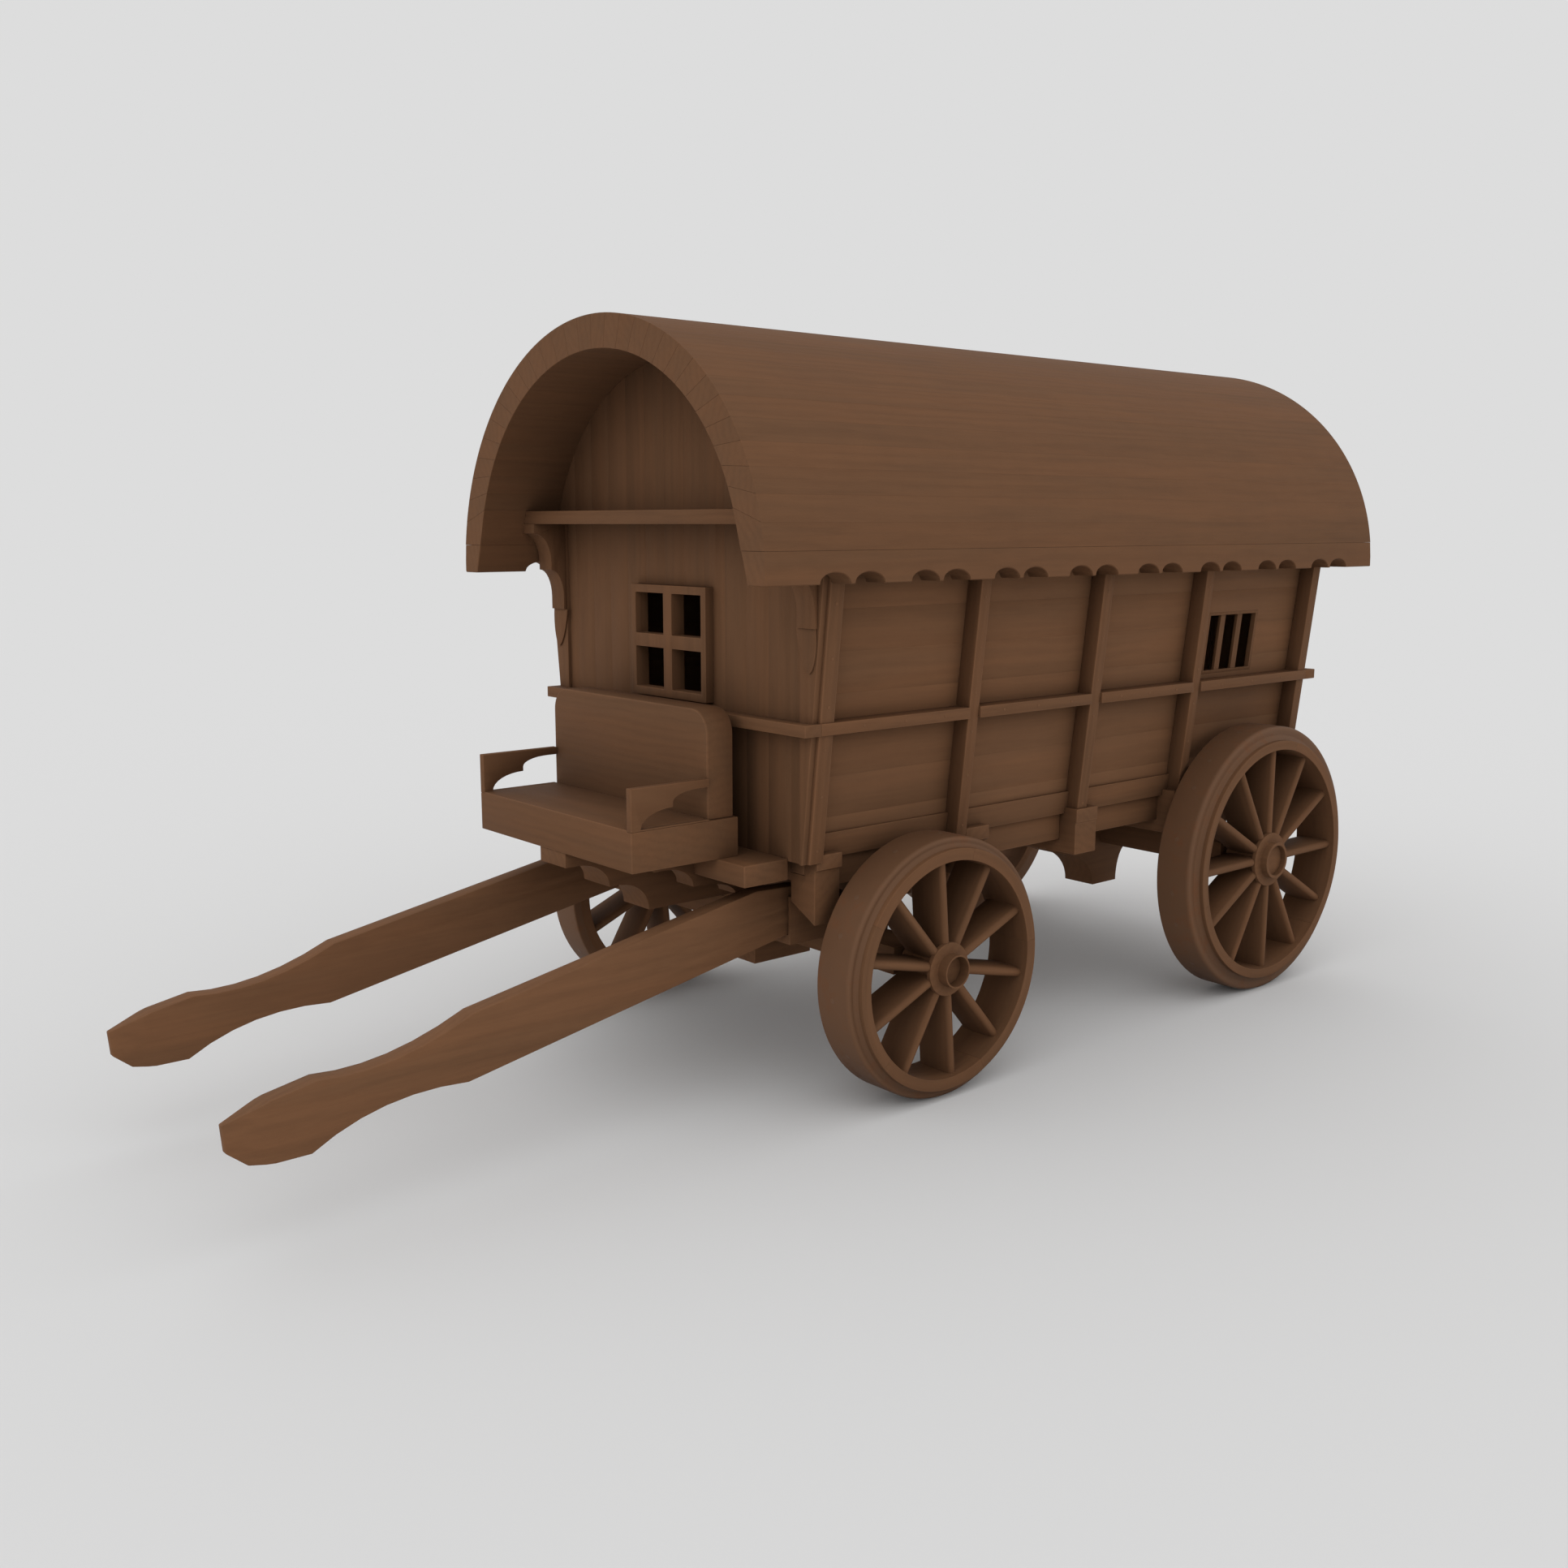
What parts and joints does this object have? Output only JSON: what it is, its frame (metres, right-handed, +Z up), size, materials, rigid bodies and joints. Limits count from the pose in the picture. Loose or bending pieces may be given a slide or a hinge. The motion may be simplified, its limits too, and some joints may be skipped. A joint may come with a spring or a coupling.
{
  "type": "horse-drawn wagon",
  "caption": "Horse-drawn living wagon with leaning plank sides, round shell roof, driver's seat, spoked wheels, turning fore-carriage and hinged shafts.",
  "frame": {"origin": "on the ground, under the middle of the overall box", "axes": "+Z up, -Y towards the shafts at the front, +X to the driver's left"},
  "size_m": [2.186, 5.666, 3.025],
  "materials": {
    "board_wood": "weathered planks",
    "frame_wood": "weathered frame timber",
    "iron": "brown rusted iron"
  },
  "bodies": {
    "wagon_body": {"roof_shell": "board_wood", "front_wall": "board_wood", "rear_wall": "board_wood", "left_side_wall": "board_wood", "right_side_wall": "board_wood", "floor": "board_wood", "front_window_frame": "frame_wood", "left_barred_window": "frame_wood", "right_barred_window": "frame_wood", "left_wall_plate": "frame_wood", "right_wall_plate": "frame_wood", "left_side_frame": "frame_wood", "right_side_frame": "frame_wood", "front_belt": "frame_wood", "left_rear_belt": "frame_wood", "right_rear_belt": "frame_wood", "shelf_beam": "frame_wood", "left_shelf_bracket": "frame_wood", "right_shelf_bracket": "frame_wood", "porch_floor": "frame_wood", "seat_box": "board_wood", "seat_back": "board_wood", "left_seat_arm": "board_wood", "right_seat_arm": "board_wood", "seat_bracket": "frame_wood", "left_porch_bracket": "frame_wood", "right_porch_bracket": "frame_wood", "left_sill": "frame_wood", "right_sill": "frame_wood", "front_bearer": "frame_wood", "fore_bearer": "frame_wood", "middle_bearer": "frame_wood", "aft_bearer": "frame_wood", "rear_bearer": "frame_wood", "front_transom": "frame_wood", "upper_turntable_plate": "iron", "king_pin": "iron", "rear_axle_bed": "frame_wood", "rear_bolster": "frame_wood", "rear_axle_bracket": "frame_wood", "door_hinges": "iron", "rear_step": "frame_wood"},
    "fore_carriage": {"front_axle_bed": "frame_wood", "front_bolster": "frame_wood", "lower_turntable_plate": "iron", "front_axle_bracket": "frame_wood", "left_hound": "frame_wood", "right_hound": "frame_wood"},
    "rear_door": {"rear_door": "board_wood"},
    "left_front_wheel": {"left_front_wheel": "frame_wood", "left_front_tyre": "iron"},
    "right_front_wheel": {"right_front_wheel": "frame_wood", "right_front_tyre": "iron"},
    "left_rear_wheel": {"left_rear_wheel": "frame_wood", "left_rear_tyre": "iron"},
    "right_rear_wheel": {"right_rear_wheel": "frame_wood", "right_rear_tyre": "iron"},
    "left_shaft": {"left_shaft": "frame_wood"},
    "right_shaft": {"right_shaft": "frame_wood"}
  },
  "joints": [
    {"name": "steering", "type": "hinge", "parent": "wagon_body", "child": "fore_carriage", "pos_m": [0, -0.152, 0.748], "axis": [0, 0, 1], "range_deg": [-5, 5]},
    {"name": "left_front_wheel_turn", "type": "hinge", "parent": "fore_carriage", "child": "left_front_wheel", "pos_m": [0.95, -0.152, 0.525], "axis": [1, 0, 0], "continuous": true},
    {"name": "right_front_wheel_turn", "type": "hinge", "parent": "fore_carriage", "child": "right_front_wheel", "pos_m": [-0.95, -0.152, 0.525], "axis": [1, 0, 0], "continuous": true},
    {"name": "left_rear_wheel_turn", "type": "hinge", "parent": "wagon_body", "child": "left_rear_wheel", "pos_m": [0.95, 2.073, 0.645], "axis": [1, 0, 0], "continuous": true},
    {"name": "right_rear_wheel_turn", "type": "hinge", "parent": "wagon_body", "child": "right_rear_wheel", "pos_m": [-0.95, 2.073, 0.645], "axis": [1, 0, 0], "continuous": true},
    {"name": "left_shaft_hinge", "type": "hinge", "parent": "fore_carriage", "child": "left_shaft", "pos_m": [0.56, -0.547, 0.752], "axis": [-1, 0, 0], "range_deg": [0, 12]},
    {"name": "right_shaft_hinge", "type": "hinge", "parent": "fore_carriage", "child": "right_shaft", "pos_m": [-0.56, -0.547, 0.752], "axis": [-1, 0, 0], "range_deg": [0, 12]},
    {"name": "rear_door_hinge", "type": "hinge", "parent": "wagon_body", "child": "rear_door", "pos_m": [0.336, 2.582, 1.868], "axis": [0, 0, -1], "range_deg": [0, 100]}
  ]
}
